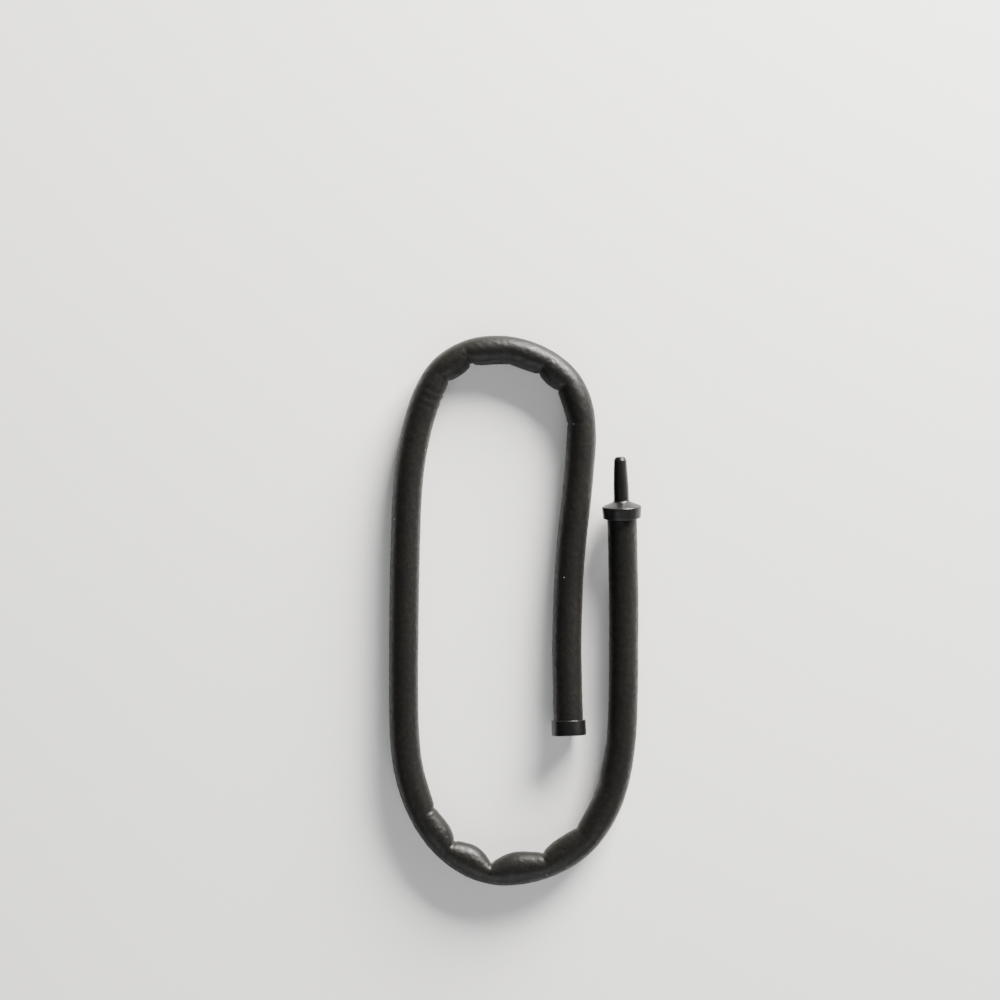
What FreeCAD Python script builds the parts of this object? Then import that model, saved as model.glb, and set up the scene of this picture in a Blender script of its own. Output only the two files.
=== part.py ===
import FreeCAD, Part
import math
import os

import Sketcher
from FreeCAD import Placement, Rotation, Vector

# A flexible air stone: a porous elastomer sleeve bent like a paper clip, lying flat on a surface.
# A soft wire inside it holds the shape, ballast slugs threaded on the wire sink it, and the sleeve
# folds where the wire bends between two slugs. The long runs and each stretch between two folds are
# rigid, and neighbours meet at an upright hinge on the wire's axis, in the middle of the fold.

SIZES = {
    "sleeve_diameter": 9.2,
    "sleeve_bore": 6.2,
    "wire_diameter": 2.0,
    "fold_gap": 0.3,  # between two stretches, at the hinge
    "closing_share": 0.12,  # how much further a top fold can close, as a share of its turn
    "slug_diameter": 5.2,
    "slug_length": 8.0,
    "slug_bore": 2.3,
    "slug_chamfer": 0.5,
    "slug_pitch": 15.0,  # along a long run, at most
    "ferrule_diameter": 4.4,
    "ferrule_length": 5.0,
    "wire_setback": 7.6,  # from the sleeve's end to the wire's end
    "spigot_length": 7.0,
    "spigot_diameter": 5.8,
    "barb_diameter": 6.5,
    "spigot_nose": 5.2,
    "inner_barb": 4.6,  # from the sleeve's end to the barb's step
    "outer_barb": 1.4,
    "barb_ramp": 2.1,
    "cup_clearance": 0.05,
    "cap_diameter": 12.2,
    "cap_lip_diameter": 11.6,
    "cap_lip": 1.4,  # how far the cap reaches back over the sleeve
    "cap_rim": 2.2,
    "cap_shoulder": 3.8,  # from the sleeve's end to the nipple's foot
    "cap_edge": 0.3,
    "air_bore": 2.0,
    "nipple_diameter": 4.7,
    "nipple_land": 4.0,
    "nipple_length": 13.6,
    "nipple_tip": 3.9,
    "nipple_nose": 2.8,
    "nipple_nose_length": 1.0,
    "plug_diameter": 10.6,
    "plug_lip": 3.0,
    "plug_length": 1.7,
    "plug_edge": 0.5,
}

# The route of the sleeve's centreline, from the inlet, round the bottom bend, up the left run, round
# the top bend and down to the plug: the corners of its straight stretches.
ROUTE = (
    ("inlet_seat", 32.7, 29.7, 7.4),
    ("inlet_run_upper", 33.3, 13.7, 5.2),
    ("inlet_run_middle", 33.5, -6.3, 4.6),
    ("inlet_run_lower", 33.3, -26.3, 4.6),
    ("bottom_fold_1", 32.7, -42.9, 4.6),
    ("bottom_fold_2", 29.1, -59.3, 4.6),
    ("bottom_fold_3", 20.1, -72.7, 4.6),
    ("bottom_fold_4", 5.7, -79.7, 4.6),
    ("bottom_fold_5", -9.3, -80.3, 4.6),
    ("bottom_fold_6", -22.5, -71.9, 4.6),
    ("bottom_fold_7", -30.7, -57.9, 4.6),
    ("bottom_fold_8", -34.1, -42.3, 4.6),
    ("left_run_lower", -34.2, -14.3, 4.6),
    ("left_run_upper", -33.8, 17.7, 4.6),
    ("top_fold_1", -32.7, 46.1, 4.6),
    ("top_fold_2", -26.1, 70.5, 4.6),
    ("top_fold_3", -15.1, 79.2, 4.6),
    ("top_fold_4", -1.9, 80.3, 4.6),
    ("top_fold_5", 9.9, 76.1, 4.6),
    ("top_fold_6", 17.9, 68.5, 4.6),
    ("top_fold_7", 21.0, 56.7, 4.6),
    ("end_run_upper", 19.3, 36.9, 4.6),
    ("end_run_middle", 16.9, 17.0, 4.6),
    ("end_run_lower", 16.0, -3.0, 4.6),
    ("end_run_last", 16.0, -21.4, 4.9),
    ("plug_seat", 16.55, -36.7, 5.7),
)
STOPS = [stop[0] for stop in ROUTE]
BOTTOM_FOLDS = [stop for stop in STOPS if stop.startswith("bottom_fold")]
TOP_FOLDS = [stop for stop in STOPS if stop.startswith("top_fold")]

ARC_SHARE = 0.45  # of the shorter run, taken up by the arc at a corner
CUT_MARGIN = 1.0  # how far a cutting shape stands out past what it cuts

doc = FreeCAD.newDocument("air_stone")
nodes = []


def fill_sheet():
    """The driving sizes and the route's corners, each in a cell with a name."""
    sheet = doc.addObject("Spreadsheet::Sheet", "Sizes")
    cells = dict(SIZES)
    for stop, *place in ROUTE:
        for letter, number in zip("xyz", place):
            cells[f"{stop}_{letter}"] = number
    for row, (alias, number) in enumerate(cells.items(), start=1):
        sheet.set(f"A{row}", alias)
        sheet.set(f"B{row}", str(number))
        sheet.setAlias(f"B{row}", alias)
    doc.recompute()
    return sheet


sheet = fill_sheet()


def size(alias):
    return float(sheet.get(alias))


def place_of(stop):
    return Vector(*(size(f"{stop}_{letter}") for letter in "xyz"))


def keep(feature):
    """List a finished sub-part for export."""
    nodes.append(feature)
    return feature


# ---- expressions on the sheet -------------------------------------------------------------------


def heading(start, end):
    """The direction of a run in plan, as an expression."""
    return f"atan2(Sizes.{end}_y - Sizes.{start}_y; Sizes.{end}_x - Sizes.{start}_x)"


def run_length(start, end):
    return f"hypot(Sizes.{end}_x - Sizes.{start}_x; Sizes.{end}_y - Sizes.{start}_y)"


def half_notch(fold):
    """Half the notch on the inner side of a fold: half its turn, and room for the top bend to close."""
    index = STOPS.index(fold)
    before = heading(STOPS[index - 1], fold)
    after = heading(fold, STOPS[index + 1])
    turn = f"mod({before} - {after} + 360 deg; 360 deg)"
    room = "(1 + Sizes.closing_share)" if fold in TOP_FOLDS else "1"
    return f"{turn} * {room} / 2"


# ---- sketching ----------------------------------------------------------------------------------


def new_body(label):
    body = doc.addObject("PartDesign::Body", label)
    body.Label = label
    return body


def new_sketch(body, plane, name):
    sketch = body.newObject("Sketcher::SketchObject", f"{body.Name}_{name}")
    face = next(item for item in body.Origin.OriginFeatures if item.Role == plane)
    sketch.AttachmentSupport = [(face, "")]
    sketch.MapMode = "FlatFace"
    return sketch


def add_circle(sketch, diameter):
    """A circle about the sketch's origin, its diameter an expression."""
    radius = float(sketch.evalExpression(f"{diameter} / 2"))
    curve = sketch.addGeometry(Part.Circle(Vector(0, 0, 0), Vector(0, 0, 1), radius), False)
    sketch.addConstraint(Sketcher.Constraint("Coincident", curve, 3, -1, 1))
    rule = sketch.addConstraint(Sketcher.Constraint("Radius", curve, radius))
    sketch.setExpression(f"Constraints[{rule}]", f"{diameter} / 2")


def add_outline(sketch, corners):
    """A closed outline whose corners are pairs of expressions."""
    values = [[float(sketch.evalExpression(text)) for text in corner] for corner in corners]
    points = [Vector(along, across, 0) for along, across in values]
    lines = [
        sketch.addGeometry(Part.LineSegment(point, points[(index + 1) % len(points)]), False)
        for index, point in enumerate(points)
    ]
    for index, line in enumerate(lines):
        following = lines[(index + 1) % len(lines)]
        sketch.addConstraint(Sketcher.Constraint("Coincident", line, 2, following, 1))
    for line, corner, value in zip(lines, corners, values):
        for kind, text, number in zip(("DistanceX", "DistanceY"), corner, value):
            rule = sketch.addConstraint(Sketcher.Constraint(kind, -1, 1, line, 1, number))
            sketch.setExpression(f"Constraints[{rule}]", text)


def mitre(across, fold, at, side):
    """What is cut off at a fold, in plan, with x along the run and the inner side at -y.

    side is 1 where the run starts at the fold and -1 where it ends there; at is the fold's x.
    """
    reach = f"({across} / 2 + {CUT_MARGIN})"
    gap = "Sizes.fold_gap / 2"
    slope = f"{reach} * tan({half_notch(fold)})"
    return [
        (f"{at} - {side} * {reach}", reach),
        (f"{at} + {side} * {gap}", reach),
        (f"{at} + {side} * {gap}", "0"),
        (f"{at} + {side} * ({gap} + {slope})", f"-{reach}"),
        (f"{at} - {side} * {reach}", f"-{reach}"),
    ]


def stand_at(body, stop, turn):
    """Place a body at a corner of the route, turned by an expression about the vertical."""
    for letter in "xyz":
        body.setExpression(f"Placement.Base.{letter}", f"Sizes.{stop}_{letter}")
    body.setExpression("Placement.Rotation.Angle", turn)


# ---- short stretches between two folds ----------------------------------------------------------


def short_stretch(label, start, end, outer, bore=None):
    """A straight tube or rod from one fold to the next, mitred at both ends."""
    body = new_body(label)
    section = new_sketch(body, "YZ_Plane", "section")
    add_circle(section, outer)
    if bore:
        add_circle(section, bore)
    pad = body.newObject("PartDesign::Pad", f"{label}_length")
    pad.Profile = section
    pad.setExpression("Length", run_length(start, end))
    doc.recompute()
    whole = body.Shape.Volume
    cuts = new_sketch(body, "XY_Plane", "mitres")
    add_outline(cuts, mitre(outer, start, "0", 1))
    add_outline(cuts, mitre(outer, end, run_length(start, end), -1))
    pocket = body.newObject("PartDesign::Pocket", f"{label}_ends")
    pocket.Profile = cuts
    pocket.SideType = "Symmetric"
    pocket.Type = "Length"
    pocket.setExpression("Length", f"{outer} + {CUT_MARGIN}")
    stand_at(body, start, heading(start, end))
    doc.recompute()
    if not 0 < body.Shape.Volume < whole:
        raise ValueError(f"{label}: its mitres cut nothing")
    return keep(body)


# ---- the long runs ------------------------------------------------------------------------------


def rounded_path(points, trim_start=0.0, trim_end=0.0):
    """Straight runs joined by arcs that touch them; the first and last runs can be cut shorter."""
    edges = []
    reached = points[0] + (points[1] - points[0]).normalize() * trim_start
    for before, corner, after in zip(points, points[1:], points[2:]):
        inward = before - corner
        outward = after - corner
        shorter = ARC_SHARE * min(inward.Length, outward.Length)
        turn = math.pi - inward.getAngle(outward)
        inward.normalize()
        outward.normalize()
        radius = shorter / math.tan(turn / 2)
        middle = (inward + outward).normalize()
        sagitta = radius / math.cos(turn / 2) - radius
        arc_start, arc_end = corner + inward * shorter, corner + outward * shorter
        edges.append(Part.LineSegment(reached, arc_start).toShape())
        edges.append(Part.Arc(arc_start, corner + middle * sagitta, arc_end).toShape())
        reached = arc_end
    last = points[-1] + (points[-2] - points[-1]).normalize() * trim_end
    edges.append(Part.LineSegment(reached, last).toShape())
    return Part.Wire(edges)


def path_feature(label, wire):
    feature = doc.addObject("Part::Feature", f"{label}_path")
    feature.Shape = wire
    return feature


def swept_rod(label, path, diameter):
    """A solid rod along a path."""
    first = path.Shape.OrderedEdges[0]
    section = doc.addObject("Part::Circle", f"{label}_section")
    section.setExpression("Radius", f"{diameter} / 2")
    direction = first.tangentAt(first.FirstParameter)
    section.Placement = Placement(first.valueAt(first.FirstParameter), Rotation(Vector(0, 0, 1), direction))
    rod = doc.addObject("Part::Sweep", label)
    rod.Sections = [section]
    rod.Spine = (path, [f"Edge{number + 1}" for number in range(len(path.Shape.Edges))])
    rod.Solid = True
    doc.recompute()
    full = math.pi * float(section.Radius) ** 2 * path.Shape.Length
    print(f"{label}: {path.Shape.Length:.1f} mm long, volume {rod.Shape.Volume / full:.4f} of section x length")
    return rod


def end_cutter(label, fold, start, end, side, across):
    """The block that is cut off the end of a long run at a fold."""
    body = new_body(f"{label}_cutter_at_{fold}")
    outline = new_sketch(body, "XY_Plane", "outline")
    add_outline(outline, mitre(across, fold, "0", side))
    pad = body.newObject("PartDesign::Pad", f"{body.Name}_block")
    pad.Profile = outline
    pad.SideType = "Symmetric"
    pad.setExpression("Length", f"{across} + {CUT_MARGIN}")
    stand_at(body, fold, heading(start, end))
    doc.recompute()
    return body


def long_run(label, stops, outer, bore=None, trim_start=0.0, trim_end=0.0):
    """A tube or rod along one of the long runs, mitred where it meets a fold."""
    points = [place_of(stop) for stop in stops]
    path = path_feature(label, rounded_path(points, trim_start, trim_end))
    shape = swept_rod(f"{label}_outside", path, outer)
    tools = []
    if bore:
        tools.append(swept_rod(f"{label}_inside", path, bore))
    if "fold" in stops[0]:
        tools.append(end_cutter(label, stops[0], stops[0], stops[1], 1, outer))
    if "fold" in stops[-1]:
        tools.append(end_cutter(label, stops[-1], stops[-2], stops[-1], -1, outer))
    for number, tool in enumerate(tools, start=1):
        last = number == len(tools)
        cut = doc.addObject("Part::Cut", label if last else f"{label}_cut_{number}")
        cut.Base, cut.Tool = shape, tool
        doc.recompute()
        if not 0 < cut.Shape.Volume < shape.Shape.Volume:
            raise ValueError(f"{label}: {tool.Label} cuts nothing")
        shape = cut
    shape.Label = label
    return keep(shape)


# ---- turned pieces ------------------------------------------------------------------------------


def turned_body(label, outline):
    """A body turned about its own x axis from a half outline of (along, radius) expressions."""
    body = new_body(label)
    profile = new_sketch(body, "XY_Plane", "profile")
    add_outline(profile, outline)
    turning = body.newObject("PartDesign::Revolution", f"{body.Name}_turning")
    turning.Profile = profile
    turning.ReferenceAxis = (profile, ["H_Axis"])
    turning.Angle = 360
    return body


def lay_along(body, point, direction):
    """Place a body with its x axis along a direction."""
    body.Placement = Placement(point, Rotation(Vector(1, 0, 0), direction))


def slug_outline():
    half = "Sizes.slug_length / 2"
    radius = "Sizes.slug_diameter / 2"
    bore = "Sizes.slug_bore / 2"
    edge = "Sizes.slug_chamfer"
    return [
        (f"-{half}", bore),
        (f"-{half}", f"{radius} - {edge}"),
        (f"-({half} - {edge})", radius),
        (f"{half} - {edge}", radius),
        (half, f"{radius} - {edge}"),
        (half, bore),
    ]


def ballast(label, places):
    """The slugs of one rigid stretch, as one group of separate solids."""
    slugs = []
    for number, (point, direction) in enumerate(places, start=1):
        slug = turned_body(f"{label}_slug_{number}", slug_outline())
        lay_along(slug, point, direction)
        slugs.append(slug)
    if len(slugs) == 1:
        slugs[0].Label = label
        return keep(slugs[0])
    group = doc.addObject("Part::Compound", label)
    group.Label = label
    group.Links = slugs
    return keep(group)


def along(wire, distance):
    """The point and the direction at a distance along a wire."""
    for edge in wire.OrderedEdges:
        if distance <= edge.Length:
            parameter = edge.getParameterByLength(distance)
            return edge.valueAt(parameter), edge.tangentAt(parameter)
        distance -= edge.Length
    raise ValueError("the distance is past the wire's end")


def slug_places(wire, clear_start=0.0, clear_end=0.0):
    """Evenly spaced places for slugs between the ends that other pieces take up."""
    room = wire.Length - clear_start - clear_end
    count = math.ceil(room / size("slug_pitch"))
    pitch = room / count
    return [along(wire, clear_start + pitch * (number + 0.5)) for number in range(count)]


def ferrule(label, point, direction):
    """A short tube crimped on the wire's end, from the wire's end inwards."""
    radius = "Sizes.ferrule_diameter / 2"
    outline = [
        ("0", "Sizes.wire_diameter / 2"),
        ("0", radius),
        ("Sizes.ferrule_length", radius),
        ("Sizes.ferrule_length", "Sizes.wire_diameter / 2"),
    ]
    body = turned_body(label, outline)
    lay_along(body, point, direction)
    return keep(body)


def barbed_spigot(centre):
    """The half outline of a spigot from its nose to the sleeve's end; centre is its inner radius."""
    start = "-Sizes.spigot_length"
    root = "Sizes.spigot_diameter / 2"
    barb = "Sizes.barb_diameter / 2"
    return [
        (start, centre),
        (start, "Sizes.spigot_nose / 2"),
        ("-Sizes.inner_barb", barb),
        ("-Sizes.inner_barb", root),
        ("-Sizes.outer_barb - Sizes.barb_ramp", root),
        ("-Sizes.outer_barb", barb),
        ("-Sizes.outer_barb", root),
        ("0", root),
    ]


def inlet_connector(point, outward):
    """One moulding: a spigot in the sleeve, a cap over its end, and a nipple for the airline."""
    bore = "Sizes.air_bore / 2"
    seat = "Sizes.sleeve_diameter / 2 + Sizes.cup_clearance"
    rim = "Sizes.cap_diameter / 2"
    lip = "Sizes.cap_lip_diameter / 2"
    foot = "Sizes.nipple_diameter / 2"
    tip = "Sizes.cap_shoulder + Sizes.nipple_length"
    outline = barbed_spigot(bore) + [
        ("0", seat),
        ("-Sizes.cap_lip", seat),
        ("-Sizes.cap_lip", f"{lip} - Sizes.cap_edge"),
        ("-Sizes.cap_lip + Sizes.cap_edge", lip),
        ("Sizes.cap_rim - Sizes.cap_edge", rim),
        ("Sizes.cap_rim", f"{rim} - Sizes.cap_edge"),
        ("Sizes.cap_shoulder", foot),
        ("Sizes.cap_shoulder + Sizes.nipple_land", foot),
        (f"{tip} - Sizes.nipple_nose_length", "Sizes.nipple_tip / 2"),
        (tip, "Sizes.nipple_nose / 2"),
        (tip, bore),
    ]
    body = turned_body("inlet_connector", outline)
    lay_along(body, point, outward)
    return keep(body)


def end_plug(point, outward):
    """One moulding: a spigot in the sleeve and a closed cap over its end."""
    seat = "Sizes.sleeve_diameter / 2 + Sizes.cup_clearance"
    rim = "Sizes.plug_diameter / 2"
    outline = barbed_spigot("0") + [
        ("0", seat),
        ("-Sizes.plug_lip", seat),
        ("-Sizes.plug_lip", rim),
        ("Sizes.plug_length - Sizes.plug_edge", rim),
        ("Sizes.plug_length", f"{rim} - Sizes.plug_edge"),
        ("Sizes.plug_length", "0"),
    ]
    body = turned_body("end_plug", outline)
    lay_along(body, point, outward)
    return keep(body)


# ---- the whole object ---------------------------------------------------------------------------

SLEEVE = ("Sizes.sleeve_diameter", "Sizes.sleeve_bore")
WIRE = "Sizes.wire_diameter"


def build_links(side, folds):
    """The stretches between the folds of one bend."""
    for number, (start, end) in enumerate(zip(folds, folds[1:]), start=1):
        short_stretch(f"sleeve_{side}_{number}", start, end, *SLEEVE)
        short_stretch(f"core_wire_{side}_{number}", start, end, WIRE)
        first, last = place_of(start), place_of(end)
        ballast(f"ballast_{side}_{number}", [((first + last) / 2, last - first)])


def build_left_run():
    stops = STOPS[STOPS.index(BOTTOM_FOLDS[-1]) : STOPS.index(TOP_FOLDS[0]) + 1]
    long_run("sleeve_left_run", stops, *SLEEVE)
    long_run("core_wire_left_run", stops, WIRE)
    path = rounded_path([place_of(stop) for stop in stops])
    ballast("ballast_left_run", slug_places(path))


def build_inlet_run():
    stops = STOPS[: STOPS.index(BOTTOM_FOLDS[0]) + 1]
    points = [place_of(stop) for stop in stops]
    setback = size("wire_setback")
    inward = (points[1] - points[0]).normalize()
    long_run("sleeve_inlet_run", stops, *SLEEVE)
    long_run("core_wire_inlet_run", stops, WIRE, trim_start=setback)
    taken = setback + size("ferrule_length")
    ballast("ballast_inlet_run", slug_places(rounded_path(points), clear_start=taken))
    ferrule("ferrule_inlet_run", points[0] + inward * setback, inward)
    inlet_connector(points[0], -inward)


def build_end_run():
    stops = STOPS[STOPS.index(TOP_FOLDS[-1]) :]
    points = [place_of(stop) for stop in stops]
    setback = size("wire_setback")
    inward = (points[-2] - points[-1]).normalize()
    long_run("sleeve_end_run", stops, *SLEEVE)
    long_run("core_wire_end_run", stops, WIRE, trim_end=setback)
    taken = setback + size("ferrule_length")
    ballast("ballast_end_run", slug_places(rounded_path(points), clear_end=taken))
    ferrule("ferrule_end_run", points[-1] + inward * setback, inward)
    end_plug(points[-1], -inward)


def check_and_export():
    doc.recompute()
    failed = [item.Label for item in doc.Objects if {"Invalid", "Error"} & set(item.State)]
    if failed:
        raise ValueError(f"these objects failed: {failed}")
    os.makedirs("parts", exist_ok=True)
    for node in nodes:
        if node.Shape.isNull() or not node.Shape.isValid() or node.Shape.Volume <= 0:
            raise ValueError(f"{node.Label}: its shape is empty or not valid")
        node.Shape.exportStep(f"parts/{node.Label}.step")
    whole = Part.makeCompound([node.Shape for node in nodes]).BoundBox
    print(f"{len(nodes)} nodes, x {whole.XMin:.2f} to {whole.XMax:.2f}, y {whole.YMin:.2f} to {whole.YMax:.2f}, "
          f"z {whole.ZMin:.2f} to {whole.ZMax:.2f} mm")


build_left_run()
build_links("bottom", BOTTOM_FOLDS)
build_inlet_run()
build_links("top", TOP_FOLDS)
build_end_run()
check_and_export()
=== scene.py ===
import math

import bmesh
import bpy
import numpy as np
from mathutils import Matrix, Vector


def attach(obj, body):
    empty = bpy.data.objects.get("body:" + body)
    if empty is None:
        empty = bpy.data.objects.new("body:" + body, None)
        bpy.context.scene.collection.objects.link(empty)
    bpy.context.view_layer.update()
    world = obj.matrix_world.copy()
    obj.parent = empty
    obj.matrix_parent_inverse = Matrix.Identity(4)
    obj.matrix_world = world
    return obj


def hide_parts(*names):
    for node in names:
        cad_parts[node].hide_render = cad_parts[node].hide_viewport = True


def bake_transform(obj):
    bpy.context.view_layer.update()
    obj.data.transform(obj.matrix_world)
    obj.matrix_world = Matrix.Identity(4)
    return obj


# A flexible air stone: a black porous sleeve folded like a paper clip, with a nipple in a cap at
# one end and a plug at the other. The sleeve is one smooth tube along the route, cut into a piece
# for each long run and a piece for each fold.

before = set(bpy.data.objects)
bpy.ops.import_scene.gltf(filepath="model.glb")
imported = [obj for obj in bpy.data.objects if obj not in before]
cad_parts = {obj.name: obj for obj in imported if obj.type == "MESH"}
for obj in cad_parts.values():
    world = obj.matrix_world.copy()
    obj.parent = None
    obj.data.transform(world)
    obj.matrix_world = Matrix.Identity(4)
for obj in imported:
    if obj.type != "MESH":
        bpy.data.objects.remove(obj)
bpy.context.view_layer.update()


MM = 0.001


def add_object(name, data):
    thing = bpy.data.objects.new(name, data)
    bpy.context.scene.collection.objects.link(thing)
    return thing


# ---- sizes, in metres ---------------------------------------------------------------------------

SLEEVE_RADIUS = 4.6 * MM
BORE_RADIUS = 3.1 * MM
LEAST_WALL = 0.5 * MM  # between the bore and the deepest crease
STATION = 0.4 * MM  # between two rings of the sleeve's mesh
AROUND = 84  # vertices in a ring
BORE_EVERY = 4  # the bore has one ring for so many of the outside's
RUN_OVERLAP = 8.5 * MM  # how far the first and last fold pieces reach into a long run

# The route of the sleeve's centreline: the points that control its smooth line.
ROUTE = (
    ("inlet_seat", 0.0327, 0.0297, 0.0074),
    ("inlet_run_upper", 0.0333, 0.0137, 0.0052),
    ("inlet_run_middle", 0.0335, -0.0063, 0.0046),
    ("inlet_run_lower", 0.0333, -0.0263, 0.0046),
    ("bottom_fold_1", 0.0327, -0.0429, 0.0046),
    ("bottom_fold_2", 0.0291, -0.0593, 0.0046),
    ("bottom_fold_3", 0.0201, -0.0727, 0.0046),
    ("bottom_fold_4", 0.0057, -0.0797, 0.0046),
    ("bottom_fold_5", -0.0093, -0.0803, 0.0046),
    ("bottom_fold_6", -0.0225, -0.0719, 0.0046),
    ("bottom_fold_7", -0.0307, -0.0579, 0.0046),
    ("bottom_fold_8", -0.0341, -0.0423, 0.0046),
    ("left_run_lower", -0.0342, -0.0143, 0.0046),
    ("left_run_upper", -0.0338, 0.0177, 0.0046),
    ("top_fold_1", -0.0327, 0.0461, 0.0046),
    ("top_fold_2", -0.0261, 0.0705, 0.0046),
    ("top_fold_3", -0.0151, 0.0792, 0.0046),
    ("top_fold_4", -0.0019, 0.0803, 0.0046),
    ("top_fold_5", 0.0099, 0.0761, 0.0046),
    ("top_fold_6", 0.0179, 0.0685, 0.0046),
    ("top_fold_7", 0.0210, 0.0567, 0.0046),
    ("end_run_upper", 0.0193, 0.0369, 0.0046),
    ("end_run_middle", 0.0169, 0.0170, 0.0046),
    ("end_run_lower", 0.0160, -0.0030, 0.0046),
    ("end_run_last", 0.0160, -0.0214, 0.0049),
    ("plug_seat", 0.01655, -0.0367, 0.0057),
)
PLACES = {name: Vector(place) for name, *place in ROUTE}

# The creases on the inner side of the bends: the fold that each belongs to, how far past it along
# the sleeve, how deep the side is there, how deep a narrow line runs up over it, and how far the
# sleeve bulges between this crease and the next one (all in mm).
CREASES = (
    ("bottom_fold_1", -2.0, 0.0, 0.0, 0.1),
    ("bottom_fold_2", -5.0, 0.1, 0.1, 0.3),
    ("bottom_fold_3", -3.3, 0.5, 0.2, 0.6),
    ("bottom_fold_4", -4.2, 1.1, 0.4, 1.1),
    ("bottom_fold_5", -1.3, 2.4, 0.5, 0.6),
    ("bottom_fold_6", -2.1, 1.8, 0.6, 0.1),
    ("bottom_fold_7", -5.0, 0.6, 0.4, 0.1),
    ("bottom_fold_8", -2.0, 0.0, 0.0, 0.0),
    ("top_fold_1", 9.0, 0.0, 0.0, 0.1),
    ("top_fold_2", 3.3, 1.0, 0.4, 0.0),
    ("top_fold_3", 0.3, 1.2, 1.3, 0.0),
    ("top_fold_4", 1.1, 0.4, 0.1, 0.0),
    ("top_fold_5", -0.3, 0.7, 0.3, 0.3),
    ("top_fold_6", -1.7, 0.6, 0.3, 0.1),
    ("top_fold_7", -1.0, 0.3, 0.2, 0.1),
    ("top_fold_7", 14.0, 0.0, 0.0, 0.0),
)
LINE_WIDTH = 1.1 * MM  # from the middle of a crease's narrow line to its edge
LINE_POWER = 1.3  # above 1, the line is sharp in the middle and fades at its edge
FULL_SHADE_DEPTH = 1.5  # a crease this deep, in mm, gets the darkest painted shade
SHADE_REACH = 1.6  # how far a crease's painted shade reaches up over the sleeve

# The skin's unevenness: each kind's seed, the size of its features in steps of the mesh, along the
# sleeve and around it, and its height in mm.
SOFT_SEED, SOFT_SIZES, SOFT_HEIGHT = 3, (9.0, 7.0), 0.020
GRAIN_SEED, GRAIN_SIZES, GRAIN_HEIGHT = 5, (0.9, 0.9), 0.016
PIT_SEED, PIT_SIZES, PIT_HEIGHT = 8, (1.1, 1.1), 0.09
PIT_FROM = 2.0  # only the noise above this is a pit
PIT_MOST = 1.2  # and only so much of it counts
SKIN_SPREAD = 2  # soft and grain are kept within this much of their middle
SKIN_DROP = 0.072  # the most that soft and grain add, so that the skin stays inside the radius
CALM_ENDS = 4 * MM  # over which the skin is even, next to the sleeve's ends

# The wrinkles at the start of the top bend.
WRINKLES_AFTER = 14 * MM  # past the bend's first fold
WRINKLES_PAST = 2 * MM  # past its second fold
WRINKLE_HEIGHT = 0.10 * MM
WRINKLE_STEP = 2.7 * MM
WRINKLE_SEED, WRINKLE_SIZES, WRINKLE_BEND = 21, (16.0, 9.0), 1.1


# ---- nodes --------------------------------------------------------------------------------------


def new_material(name, **sockets):
    """A material with its shader; a value that is the same all over goes on the shader's socket."""
    material = bpy.data.materials.new(name)
    material.use_nodes = True
    shader = material.node_tree.nodes["Principled BSDF"]
    for label, value in sockets.items():
        shader.inputs[label.replace("_", " ")].default_value = value
    return material, material.node_tree, shader


def add_node(tree, kind, settings=(), values=(), links=()):
    """One node, with its settings, its sockets' values and what is linked to its sockets."""
    node = tree.nodes.new(kind)
    for label, value in dict(settings).items():
        setattr(node, label, value)
    for socket, value in dict(values).items():
        node.inputs[socket].default_value = value
    for socket, source in dict(links).items():
        tree.links.new(source, node.inputs[socket])
    return node


def attribute(tree, name, output="Vector"):
    return add_node(tree, "ShaderNodeAttribute", {"attribute_name": name}).outputs[output]


def object_place(tree):
    return add_node(tree, "ShaderNodeTexCoord").outputs["Object"]


def noise(tree, place, size, detail=3.0, roughness=0.55):
    """Noise whose features are about size metres across, from 0 to 1."""
    values = {"Scale": 1 / size, "Detail": detail, "Roughness": roughness}
    return add_node(tree, "ShaderNodeTexNoise", {}, values, {"Vector": place}).outputs["Fac"]


def cells(tree, place, size, output="Distance"):
    """Cells about size metres apart: the distance to a cell's middle, or the cell's own colour."""
    values = {"Scale": 1 / size, "Randomness": 1.0}
    return add_node(tree, "ShaderNodeTexVoronoi", {}, values, {"Vector": place}).outputs[output]


def ramp(tree, source, low, high, from_value=0.0, to_value=1.0):
    """A smooth step of a value from low to high."""
    values = {"From Min": low, "From Max": high, "To Min": from_value, "To Max": to_value}
    settings = {"interpolation_type": "SMOOTHSTEP"}
    node = add_node(tree, "ShaderNodeMapRange", settings, values, {"Value": source})
    return node.outputs["Result"]


def combine(tree, operation, first, second):
    """Two values put together, each of them a number or a socket."""
    node = add_node(tree, "ShaderNodeMath", {"operation": operation})
    for socket, value in zip(node.inputs, (first, second)):
        if isinstance(value, (int, float)):
            socket.default_value = value
        else:
            tree.links.new(value, socket)
    return node.outputs[0]


def between(tree, factor, first, second):
    """A colour between two colours, each of them a colour or a socket."""
    node = tree.nodes.new("ShaderNodeMix")
    node.data_type = "RGBA"
    tree.links.new(factor, node.inputs["Factor"])
    for socket, colour in ((node.inputs[6], first), (node.inputs[7], second)):
        if isinstance(colour, tuple):
            socket.default_value = (*colour, 1.0)
        else:
            tree.links.new(colour, socket)
    return node.outputs[2]


def raised(tree, height, depth, strength=1.0, under=None):
    """Bump of a height from 0 to 1 that stands depth metres high, over another bump."""
    values = {"Distance": depth, "Strength": strength}
    node = add_node(tree, "ShaderNodeBump", {}, values, {"Height": height})
    if under:
        tree.links.new(under, node.inputs["Normal"])
    return node.outputs["Normal"]


def finish_with(tree, shader, colour, roughness, normal):
    tree.links.new(colour, shader.inputs["Base Color"])
    tree.links.new(roughness, shader.inputs["Roughness"])
    tree.links.new(normal, shader.inputs["Normal"])


# ---- materials ----------------------------------------------------------------------------------


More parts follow.
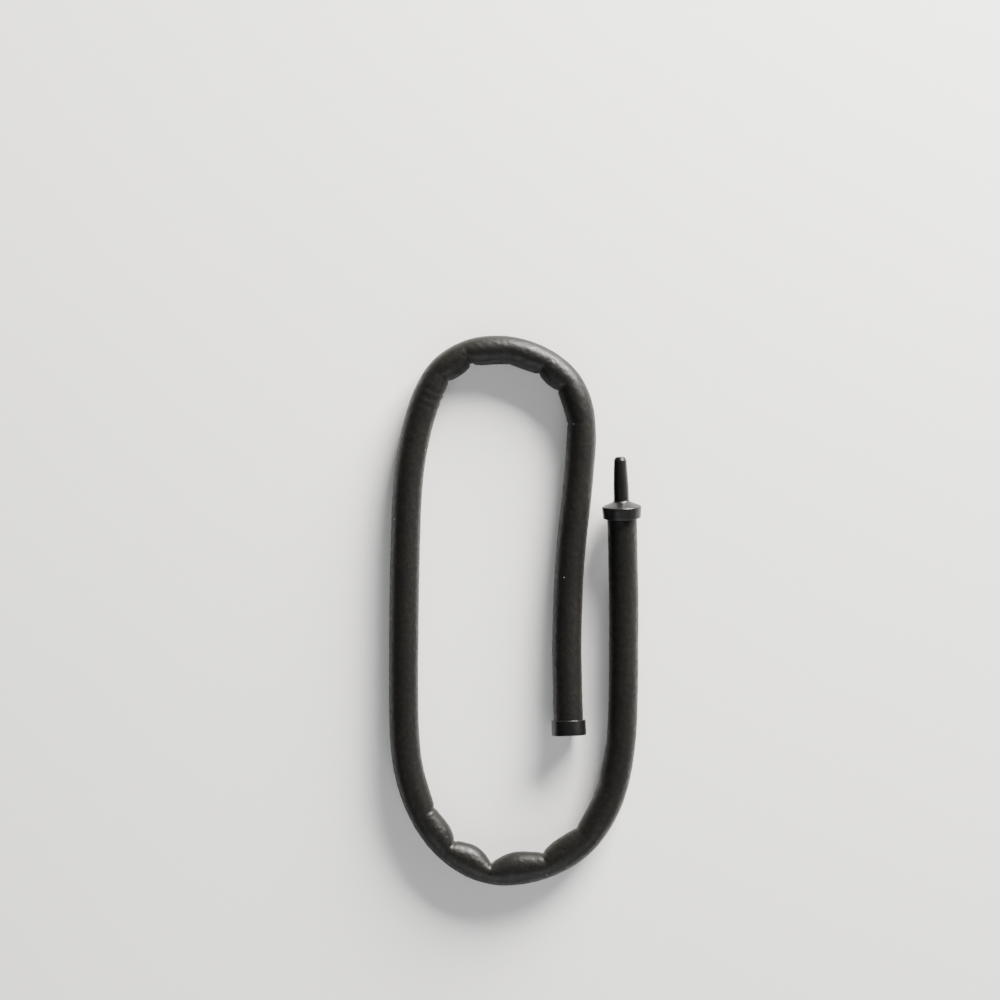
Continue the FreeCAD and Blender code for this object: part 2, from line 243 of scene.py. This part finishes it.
def rubber_colour(tree, place, mottle, grain, pores):
    """Near black: browner in places, paler on the grain, with painted shade in pores and creases, and
    specks.
    """
    # The crease attribute carries the painted shade near the creases.
    crease = attribute(tree, "crease", "Fac")
    warm = ramp(tree, noise(tree, place, 11 * MM, 2.0), 0.38, 0.64)
    chance = ramp(tree, cells(tree, place, 2.6 * MM, "Color"), 0.78, 0.8)
    near = ramp(tree, cells(tree, place, 2.6 * MM), 0.05, 0.09, 1.0, 0.0)
    speck = combine(tree, "MULTIPLY", chance, near)

    dark = between(tree, warm, (0.0009, 0.0009, 0.0008), (0.0014, 0.0012, 0.0010))
    light = between(tree, warm, (0.0048, 0.0047, 0.0042), (0.0070, 0.0060, 0.0049))
    colour = between(tree, mottle, dark, light)
    pale_grain = ramp(tree, grain, 0.52, 0.74, 0.0, 0.5)
    colour = between(tree, pale_grain, colour, (0.0150, 0.0134, 0.0112))
    # Painted shade: the colour is darkened inside the pores, where shadow would fall.
    painted_pore_shade = combine(tree, "SUBTRACT", 1.0, pores)
    colour = between(tree, painted_pore_shade, colour, (0.0010, 0.0010, 0.0010))
    # Painted shade: the colour is darkened near the creases, where shadow falls.
    painted_crease_shade = combine(tree, "MULTIPLY", crease, 0.75)
    colour = between(tree, painted_crease_shade, colour, (0.0006, 0.0006, 0.0006))
    return between(tree, combine(tree, "MULTIPLY", speck, 0.8), colour, (0.34, 0.32, 0.29))


def porous_rubber():
    """Matte black foamed elastomer: mottled, with open pores, fine grain and a few pale specks."""
    material, tree, shader = new_material(
        "porous_rubber",
        Specular_IOR_Level=0.22,
        Sheen_Weight=0.05,
        Sheen_Roughness=0.5,
        Sheen_Tint=(0.95, 0.88, 0.8, 1.0),
    )
    place = attribute(tree, "rest_place")
    mottle = ramp(tree, noise(tree, place, 1.9 * MM, 3.0, 0.65), 0.42, 0.66)
    grain = noise(tree, place, 0.42 * MM, 2.0, 0.7)
    pores = ramp(tree, cells(tree, place, 0.75 * MM), 0.12, 0.34)
    pits = ramp(tree, cells(tree, place, 1.9 * MM), 0.06, 0.17)
    colour = rubber_colour(tree, place, mottle, grain, pores)
    roughness = ramp(tree, mottle, 0.0, 1.0, 0.45, 0.35)
    normal = raised(tree, mottle, 0.035 * MM, 0.5)
    normal = raised(tree, pits, 0.06 * MM, 0.5, normal)
    normal = raised(tree, pores, 0.04 * MM, 0.5, normal)
    normal = raised(tree, grain, 0.02 * MM, 0.5, normal)
    finish_with(tree, shader, colour, roughness, normal)
    return material


def moulded_plastic():
    """Satin black moulding with a faint spark texture and flow marks."""
    material, tree, shader = new_material("moulded_plastic", Specular_IOR_Level=0.34)
    place = object_place(tree)
    flow = ramp(tree, noise(tree, place, 4.5 * MM, 3.0), 0.35, 0.7)
    spark = noise(tree, place, 0.28 * MM, 2.0, 0.7)
    scuff = ramp(tree, noise(tree, place, 1.1 * MM, 5.0, 0.75), 0.58, 0.74)
    colour = between(tree, flow, (0.0030, 0.0030, 0.0031), (0.0060, 0.0058, 0.0055))
    colour = between(tree, combine(tree, "MULTIPLY", scuff, 0.4), colour, (0.022, 0.021, 0.020))
    roughness = ramp(tree, combine(tree, "ADD", spark, scuff), 0.3, 1.5, 0.30, 0.58)
    normal = raised(tree, spark, 0.02 * MM, 0.6)
    normal = raised(tree, flow, 0.03 * MM, 0.4, normal)
    finish_with(tree, shader, colour, roughness, normal)
    return material


def metal(name, dark, light, smooth, rough, grain_size):
    """Bare metal with drawn or turned grain and dull patches."""
    material, tree, shader = new_material(name, Metallic=1.0)
    place = object_place(tree)
    patch = ramp(tree, noise(tree, place, 3.0 * MM, 4.0), 0.35, 0.68)
    grain = noise(tree, place, grain_size, 2.0, 0.7)
    colour = between(tree, patch, dark, light)
    roughness = ramp(tree, combine(tree, "ADD", patch, grain), 0.3, 1.5, smooth, rough)
    finish_with(tree, shader, colour, roughness, raised(tree, grain, 0.01 * MM, 0.6))
    return material


def pale_floor():
    material, tree, shader = new_material("pale_floor", Specular_IOR_Level=0.2)
    place = object_place(tree)
    shade = noise(tree, place, 0.25, 2.0)
    colour = between(tree, shade, (0.80, 0.79, 0.79), (0.84, 0.835, 0.83))
    roughness = ramp(tree, shade, 0.2, 0.8, 0.75, 0.85)
    finish_with(tree, shader, colour, roughness, raised(tree, shade, 0.05 * MM, 0.1))
    return material


# ---- camera, light and floor --------------------------------------------------------------------


def add_camera():
    """Straight down on the middle of the picture, with +Y up in it."""
    lens = bpy.data.cameras.new("view")
    lens.lens = 85
    lens.sensor_width = 36
    view_width = 0.307  # at the height of the sleeve's middle
    middle_height = 0.005
    camera = add_object("view", lens)
    distance = view_width * lens.lens / lens.sensor_width
    camera.location = (-0.00457, 0.03384, distance + middle_height)
    bpy.context.scene.camera = camera


def add_light(name, place, towards, width, height, watts, colour):
    lamp = bpy.data.lights.new(name, "AREA")
    lamp.shape = "RECTANGLE"
    lamp.size = width
    lamp.size_y = height
    lamp.energy = watts
    lamp.color = colour
    light = add_object(name, lamp)
    light.location = place
    direction = Vector(towards) - Vector(place)
    light.rotation_euler = direction.to_track_quat("-Z", "Y").to_euler()


def add_world():
    """Dim all round, and as pale as the floor below its edge, so that the floor seems to go on."""
    world = bpy.data.worlds.new("soft_room")
    world.use_nodes = True
    tree = world.node_tree
    direction = add_node(tree, "ShaderNodeTexCoord").outputs["Generated"]
    upwards = add_node(tree, "ShaderNodeSeparateXYZ", links={"Vector": direction}).outputs["Z"]
    colour = between(tree, ramp(tree, upwards, -0.02, 0.0), (2.2, 2.18, 2.16), (0.06, 0.06, 0.06))
    tree.links.new(colour, tree.nodes["Background"].inputs["Color"])
    bpy.context.scene.world = world


def add_floor():
    """A pale disc; the world goes on with its colour."""
    radius = 0.95
    corners = 96
    mesh = bpy.data.meshes.new("floor")
    shape = bmesh.new()
    turns = np.arange(corners) * 2 * np.pi / corners
    edge = [(radius * math.cos(turn), radius * math.sin(turn), 0) for turn in turns]
    shape.faces.new([shape.verts.new(place) for place in edge])
    shape.to_mesh(mesh)
    shape.free()
    mesh.materials.append(pale_floor())
    floor = add_object("floor", mesh)


# ---- the sleeve's line --------------------------------------------------------------------------


def smooth_line():
    """The smooth line that the route's points control, as points close together."""
    curve = bpy.data.curves.new("route", "CURVE")
    curve.dimensions = "3D"
    curve.resolution_u = 48
    spline = curve.splines.new("NURBS")
    spline.points.add(len(ROUTE) - 1)
    for control, place in zip(spline.points, PLACES.values()):
        control.co = (*place, 1.0)
    spline.order_u = 3
    spline.use_endpoint_u = True
    holder = bpy.data.objects.new("route", curve)
    line = bpy.data.meshes.new_from_object(holder)
    places = np.array([vertex.co for vertex in line.vertices], float)
    bpy.data.objects.remove(holder)
    bpy.data.curves.remove(curve)
    bpy.data.meshes.remove(line)
    return places


def unit(vectors):
    return vectors / np.linalg.norm(vectors, axis=-1, keepdims=True)


class Line:
    """Stations along the sleeve, each with its centre and the inner and upper directions."""

    def __init__(self):
        places = smooth_line()
        reached = np.r_[0, np.cumsum(np.linalg.norm(np.diff(places, axis=0), axis=1))]
        count = round(reached[-1] / STATION) + 1
        self.along = np.linspace(0, reached[-1], count)
        centre = [np.interp(self.along, reached, axis) for axis in places.T]
        self.centre = np.stack(centre, axis=1)
        self.forward = unit(np.gradient(self.centre, axis=0))
        self.inner = unit(np.cross(self.forward, (0.0, 0.0, 1.0)))
        self.upper = np.cross(self.inner, self.forward)

    def station_at(self, distance):
        return int(np.abs(self.along - distance).argmin())

    def station_near(self, place):
        return int(np.linalg.norm(self.centre - np.array(place), axis=1).argmin())

    def distance_of(self, stop):
        return self.along[self.station_near(PLACES[stop])]


# ---- the sleeve's surface -----------------------------------------------------------------------


def crease_places(line):
    return [line.distance_of(fold) + past * MM for fold, past, *_ in CREASES]


def sagging(line):
    """How far the inner side bulges, and how far it is drawn in, at each station."""
    places = crease_places(line)
    out = np.zeros(len(line.along))
    drawn = np.zeros(len(line.along))
    for start, end, crease, following in zip(places, places[1:], CREASES, CREASES[1:]):
        share = np.clip((line.along - start) / (end - start), 0, 1)
        arc = 1 - (2 * share - 1) ** 2
        out += crease[4] * MM * arc
        within = (share > 0) & (share <= 1) & (line.along <= end)
        depth = crease[2] + (following[2] - crease[2]) * share
        drawn += np.where(within, depth * MM * (1 - arc), 0)
    return out, drawn


def crease_lines(line):
    """How deep the narrow crease lines are, and how much painted shade each station gets from being
    near one.
    """
    deep = np.zeros(len(line.along))
    near = np.zeros(len(line.along))
    for place, (_, _, depth, narrow, _) in zip(crease_places(line), CREASES):
        share = np.clip(1 - np.abs(line.along - place) / LINE_WIDTH, 0, 1)
        deep += narrow * MM * share**LINE_POWER
        # near is the strength of the painted shade here, darker for deeper creases.
        near = np.maximum(near, share * min(1, (depth + narrow) / FULL_SHADE_DEPTH))
    return deep, near


def blurred_noise(shape, seed, sizes):
    """Smooth noise on the sleeve's grid, closed around it, with a spread of 1."""
    white = np.random.default_rng(seed).normal(size=shape)
    along = np.fft.fftfreq(shape[0])[:, None] * sizes[0]
    around = np.fft.rfftfreq(shape[1])[None, :] * sizes[1]
    kept = np.exp(-2 * np.pi**2 * (along**2 + around**2))
    field = np.fft.irfft2(np.fft.rfft2(white) * kept, s=shape)
    return field / field.std()


def sleeve_relief(line):
    """The skin's own unevenness, inwards only: soft dents, foam grain and scattered pits."""
    shape = (len(line.along), AROUND)
    soft = np.clip(blurred_noise(shape, SOFT_SEED, SOFT_SIZES), -SKIN_SPREAD, SKIN_SPREAD)
    grain = np.clip(blurred_noise(shape, GRAIN_SEED, GRAIN_SIZES), -SKIN_SPREAD, SKIN_SPREAD)
    pits = np.clip(blurred_noise(shape, PIT_SEED, PIT_SIZES) - PIT_FROM, 0, PIT_MOST)
    return (soft * SOFT_HEIGHT + grain * GRAIN_HEIGHT - pits * PIT_HEIGHT - SKIN_DROP) * MM


def turned_inwards(angles):
    """How far each angle looks towards the bend's inner side, from 0 on the outer side to 1."""
    return (1 + np.cos(angles))[None, :] / 2


def wrinkles(line, angles):
    """Fine folds across the left of the top bend, where the sleeve starts to turn."""
    start = line.distance_of("top_fold_1") + WRINKLES_AFTER
    end = line.distance_of("top_fold_2") + WRINKLES_PAST
    share = np.clip((line.along - start) / (end - start), 0, 1)
    strength = np.sin(np.pi * share) ** 2
    shape = (len(line.along), AROUND)
    bent = blurred_noise(shape, WRINKLE_SEED, WRINKLE_SIZES) * WRINKLE_BEND
    waves = np.sin(2 * np.pi * line.along[:, None] / WRINKLE_STEP + bent)
    return WRINKLE_HEIGHT * strength[:, None] * turned_inwards(angles) * (waves - 1)


def sleeve_radii(line, angles):
    """The outside's and the bore's radii at every station and angle, and the crease shade."""
    inward = np.clip(np.cos(angles), 0, 1)[None, :]
    turned_in = turned_inwards(angles)
    out, drawn = sagging(line)
    deep, near = crease_lines(line)
    bulge = out[:, None] * inward**2
    folded = bulge - drawn[:, None] * turned_in**2 - deep[:, None] * turned_in**3
    ends = np.minimum(line.along, line.along[-1] - line.along)
    calm = np.clip(ends / CALM_ENDS, 0, 1)[:, None]
    skin = (sleeve_relief(line) + wrinkles(line, angles)) * calm
    outside = SLEEVE_RADIUS + folded + skin
    bore = np.minimum(BORE_RADIUS, outside - LEAST_WALL)
    shade = near[:, None] * np.clip(inward * SHADE_REACH, 0, 1)
    return outside, bore, shade


def around_line(line, angles, radii):
    """Points at radii around the line."""
    sideways = np.cos(angles)[None, :, None] * line.inner[:, None, :]
    upwards = np.sin(angles)[None, :, None] * line.upper[:, None, :]
    return line.centre[:, None, :] + radii[:, :, None] * (sideways + upwards)


def grid_normals(points):
    """Normals of a closed tube's grid of points, outwards."""
    down = np.gradient(points, axis=0)
    across = np.roll(points, -1, axis=1) - np.roll(points, 1, axis=1)
    return unit(np.cross(down, across))


class Sleeve:
    """The whole sleeve's grids, from which its pieces are cut."""

    def __init__(self):
        self.line = Line()
        angles = np.arange(AROUND) * 2 * np.pi / AROUND
        outside, bore, self.shade = sleeve_radii(self.line, angles)
        self.outside = around_line(self.line, angles, outside)
        self.bore = around_line(self.line, angles, bore)
        self.normals = grid_normals(self.outside)


def strips(first, second):
    """Faces between two rings, given by their first vertices."""
    step = np.arange(AROUND)
    following = (step + 1) % AROUND
    return np.stack([first + step, first + following, second + following, second + step], axis=1)


def sleeve_faces(outer_rings, bore_rings):
    """Faces of a closed piece: its outside, its bore, and a ring at each end."""
    outer_starts = np.arange(outer_rings) * AROUND
    bore_starts = (outer_rings + np.arange(bore_rings)) * AROUND
    faces = [strips(b, a) for a, b in zip(outer_starts, outer_starts[1:])]
    faces += [strips(a, b) for a, b in zip(bore_starts, bore_starts[1:])]
    faces.append(strips(outer_starts[0], bore_starts[0]))
    faces.append(strips(bore_starts[-1], outer_starts[-1]))
    return np.concatenate(faces)


def sleeve_piece(sleeve, name, first, last, material):
    """A closed piece of the sleeve from one station to another, with its bore."""
    outer_rows = np.arange(first, last + 1)
    bore_rows = np.unique(np.r_[np.arange(first, last, BORE_EVERY), last])
    points = np.concatenate([sleeve.outside[outer_rows], sleeve.bore[bore_rows]]).reshape(-1, 3)
    faces = sleeve_faces(len(outer_rows), len(bore_rows))

    mesh = bpy.data.meshes.new(name)
    mesh.from_pydata(points.tolist(), [], faces.tolist())
    mesh.materials.append(material)
    outer_faces = (len(outer_rows) - 1) * AROUND
    bore_faces = (len(bore_rows) - 1) * AROUND
    smooth = np.arange(len(faces)) < outer_faces + bore_faces
    mesh.polygons.foreach_set("use_smooth", smooth)
    add_attributes(mesh, points, sleeve, outer_rows, len(bore_rows))
    set_normals(mesh, sleeve.normals[outer_rows].reshape(-1, 3), outer_faces)
    piece = add_object(name, mesh)
    return piece


def add_attributes(mesh, points, sleeve, outer_rows, bore_rings):
    """What the material reads: where each point is at rest, and how much painted shade it gets near a
    crease.
    """
    place = mesh.attributes.new("rest_place", "FLOAT_VECTOR", "POINT")
    place.data.foreach_set("vector", points.astype(np.float32).ravel())
    shade = np.r_[sleeve.shade[outer_rows].ravel(), np.zeros(bore_rings * AROUND)]
    # The crease attribute holds the painted shade near the creases.
    crease = mesh.attributes.new("crease", "FLOAT", "POINT")
    crease.data.foreach_set("value", shade.astype(np.float32))


def set_normals(mesh, normals, outer_faces):
    """The outside keeps the whole sleeve's normals, so that no piece's end shows."""
    mesh.update()
    vertices = np.zeros(len(mesh.loops), int)
    mesh.loops.foreach_get("vertex_index", vertices)
    flat = np.zeros(len(mesh.loops) * 3)
    mesh.corner_normals.foreach_get("vector", flat)
    corners = flat.reshape(-1, 3)
    outer_corners = outer_faces * 4
    corners[:outer_corners] = normals[vertices[:outer_corners]]
    mesh.normals_split_custom_set(corners.tolist())


def folds_of(side):
    return [name for name in PLACES if name.startswith(f"{side}_fold")]


def bend_at(piece):
    """Bake a fold's piece's placement into its mesh."""
    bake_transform(piece)


def bend_stations(sleeve, folds):
    """The stations where a bend's pieces meet: half way between its folds, and in the runs."""
    places = [sleeve.line.distance_of(fold) for fold in folds]
    middles = [(a + b) / 2 for a, b in zip(places, places[1:])]
    limits = [places[0] - RUN_OVERLAP, *middles, places[-1] + RUN_OVERLAP]
    return [sleeve.line.station_at(limit) for limit in limits]


def add_bend(sleeve, side, material):
    folds = folds_of(side)
    stations = bend_stations(sleeve, folds)
    for number, fold in enumerate(folds, start=1):
        first, last = stations[number - 1], stations[number]
        piece = sleeve_piece(sleeve, f"sleeve_at_{fold}", first, last, material)
        if number < len(folds):
            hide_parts(f"sleeve_{side}_{number}")
        bend_at(piece)
    return stations[0], stations[-1]


def add_run(sleeve, body, first, last, material):
    piece = sleeve_piece(sleeve, f"sleeve_along_{body}", first, last, material)
    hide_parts(f"sleeve_{body}")
    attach(piece, body)


def add_sleeve(material):
    sleeve = Sleeve()
    bottom_start, bottom_end = add_bend(sleeve, "bottom", material)
    top_start, top_end = add_bend(sleeve, "top", material)
    add_run(sleeve, "inlet_run", 0, bottom_start, material)
    add_run(sleeve, "left_run", bottom_end, top_start, material)
    add_run(sleeve, "end_run", top_end, len(sleeve.line.along) - 1, material)


# ---- the two mouldings --------------------------------------------------------------------------

SPIGOT = (
    (-7.0, 2.6, 0.2),
    (-4.6, 3.25, 0.1),
    (-4.6, 2.9, 0.0),
    (-3.5, 2.9, 0.0),
    (-1.4, 3.25, 0.1),
    (-1.4, 2.9, 0.0),
    (0.0, 2.9, 0.0),
    (0.0, 4.65, 0.0),
)
CONNECTOR = (
    (-7.0, 1.0, 0.0),
    *SPIGOT,
    (-1.4, 4.65, 0.1),
    (-1.4, 5.8, 0.3),
    (2.2, 6.1, 0.35),
    (3.8, 2.35, 0.7),
    (7.8, 2.35, 0.6),
    (16.4, 1.95, 0.25),
    (17.4, 1.4, 0.25),
    (17.4, 1.0, 0.1),
)
PLUG = (
    (-7.0, 0.0, 0.0),
    *SPIGOT,
    (-3.0, 4.65, 0.1),
    (-3.0, 5.3, 0.25),
    (1.7, 5.3, 0.5),
    (1.7, 0.0, 0.0),
)
TURNED_AROUND = 120  # vertices in a ring
ROUND_STEPS = 6  # points on a rounded corner
ROUND_SHARE = 0.45  # of a side next to a corner, taken up by its rounding at most
LONGEST_STEP = 0.5 * MM  # between two rings
SHARP_FROM = math.radians(50)  # edges that turn by more than this are shaded sharp
RIDGE = 0.05 * MM  # how far the parting line stands up
RIDGE_REACH = 0.22 * MM  # how far it reaches to each side
LEAST_RIDGED = 1.5 * MM  # the least radius that has a parting line


def rounded(outline, closed):
    """An outline of (along, radius, rounding) in mm, with its corners rounded, in metres."""
    corners = [np.array(corner[:2]) * MM for corner in outline]
    points = []
    for index, (corner, (_, _, rounding)) in enumerate(zip(corners, outline)):
        at_end = index in (0, len(corners) - 1) and not closed
        if rounding == 0 or at_end:
            points.append(corner)
            continue
        before = corners[index - 1] - corner
        after = corners[(index + 1) % len(corners)] - corner
        shorter = min(np.linalg.norm(before), np.linalg.norm(after))
        reach = min(rounding * MM, shorter * ROUND_SHARE)
        start = corner + unit(before) * reach
        end = corner + unit(after) * reach
        for share in np.linspace(0, 1, ROUND_STEPS):
            left = 1 - share
            points.append(start * left**2 + 2 * corner * share * left + end * share**2)
    return points


def subdivided(points, longest):
    """The outline with its long straight stretches divided into shorter steps."""
    result = []
    for start, end in zip(points, points[1:]):
        parts = max(1, math.ceil(np.linalg.norm(end - start) / longest))
        result += [start + (end - start) * part / parts for part in range(parts)]
    result.append(points[-1])
    return result


def turned_ring(shape, centre, radius, side, upper):
    """One ring of a turned piece, with the parting line where it crosses the ring."""
    if radius == 0:
        return [shape.verts.new(centre)]
    ring = []
    for number in range(TURNED_AROUND):
        angle = 2 * math.pi * number / TURNED_AROUND
        from_seam = abs(math.sin(angle)) * radius
        seam = RIDGE * max(0, 1 - from_seam / RIDGE_REACH)
        reach = radius + (seam - RIDGE if radius > LEAST_RIDGED else 0)
        outwards = math.cos(angle) * side + math.sin(angle) * upper
        ring.append(shape.verts.new(centre + reach * outwards))
    return ring


def turned_shape(profile, seat, direction, closed):
    """The faces of a profile turned about a line from its seat."""
    direction = Vector(direction).normalized()
    side = direction.cross(Vector((0, 0, 1))).normalized()
    upper = side.cross(direction)
    shape = bmesh.new()
    rings = []
    for along, radius in profile:
        centre = Vector(seat) + direction * float(along)
        rings.append(turned_ring(shape, centre, float(radius), side, upper))
    pairs = list(zip(rings, rings[1:]))
    if closed:
        pairs.append((rings[-1], rings[0]))
    for ring, following in pairs:
        join_rings(shape, ring, following)
    bmesh.ops.recalc_face_normals(shape, faces=shape.faces)
    return shape


def turned_piece(name, outline, seat, direction, closed, material):
    """A piece turned from an outline, with a faint parting line along both sides."""
    profile = subdivided(rounded(outline, closed), LONGEST_STEP)
    shape = turned_shape(profile, seat, direction, closed)
    mesh = bpy.data.meshes.new(name)
    shape.to_mesh(mesh)
    shape.free()
    mesh.shade_smooth()
    mesh.set_sharp_from_angle(angle=SHARP_FROM)
    mesh.materials.append(material)
    piece = add_object(name, mesh)
    return piece


def join_rings(shape, ring, following):
    """Faces between two rings, either of which can be a single point."""
    for number in range(TURNED_AROUND):
        after = (number + 1) % TURNED_AROUND
        corners = [ring[number % len(ring)], ring[after % len(ring)]]
        corners += [following[after % len(following)], following[number % len(following)]]
        different = list(dict.fromkeys(corners))
        if len(different) > 2:
            shape.faces.new(different)


def add_mouldings(material):
    seat, before = PLACES["inlet_seat"], PLACES["inlet_run_upper"]
    connector = turned_piece("nipple_and_cap", CONNECTOR, seat, seat - before, True, material)
    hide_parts("inlet_connector")
    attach(connector, "inlet_run")
    seat, before = PLACES["plug_seat"], PLACES["end_run_last"]
    plug = turned_piece("closed_end_plug", PLUG, seat, seat - before, False, material)
    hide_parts("end_plug")
    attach(plug, "end_run")


# ---- what is inside the sleeve ------------------------------------------------------------------


def repaint_inside():
    wire = metal("drawn_wire", (0.52, 0.52, 0.53), (0.74, 0.74, 0.75), 0.22, 0.42, 0.3 * MM)
    steel = metal("turned_steel", (0.34, 0.34, 0.35), (0.56, 0.57, 0.58), 0.24, 0.46, 0.2 * MM)
    crimp = metal("crimped_tube", (0.44, 0.45, 0.46), (0.64, 0.65, 0.67), 0.28, 0.5, 0.25 * MM)
    for name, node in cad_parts.items():
        for start, material in (("core_wire", wire), ("ballast", steel), ("ferrule", crimp)):
            if name.startswith(start):
                node.data.materials.clear()
                node.data.materials.append(material)


# ---- everything ---------------------------------------------------------------------------------

add_camera()
add_world()
add_floor()
add_light("key", (0.47, 0.83, 0.31), (0.0, 0.02, 0.0), 0.60, 0.46, 88, (1.0, 0.975, 0.93))
add_light("side", (0.80, -0.08, 0.42), (0.0, 0.0, 0.0), 0.5, 0.4, 0.7, (1.0, 0.99, 0.98))
add_light("fill", (-0.05, -0.95, 0.72), (0.0, -0.08, 0.0), 1.6, 1.0, 15, (0.97, 0.985, 1.0))
add_sleeve(porous_rubber())
add_mouldings(moulded_plastic())
repaint_inside()
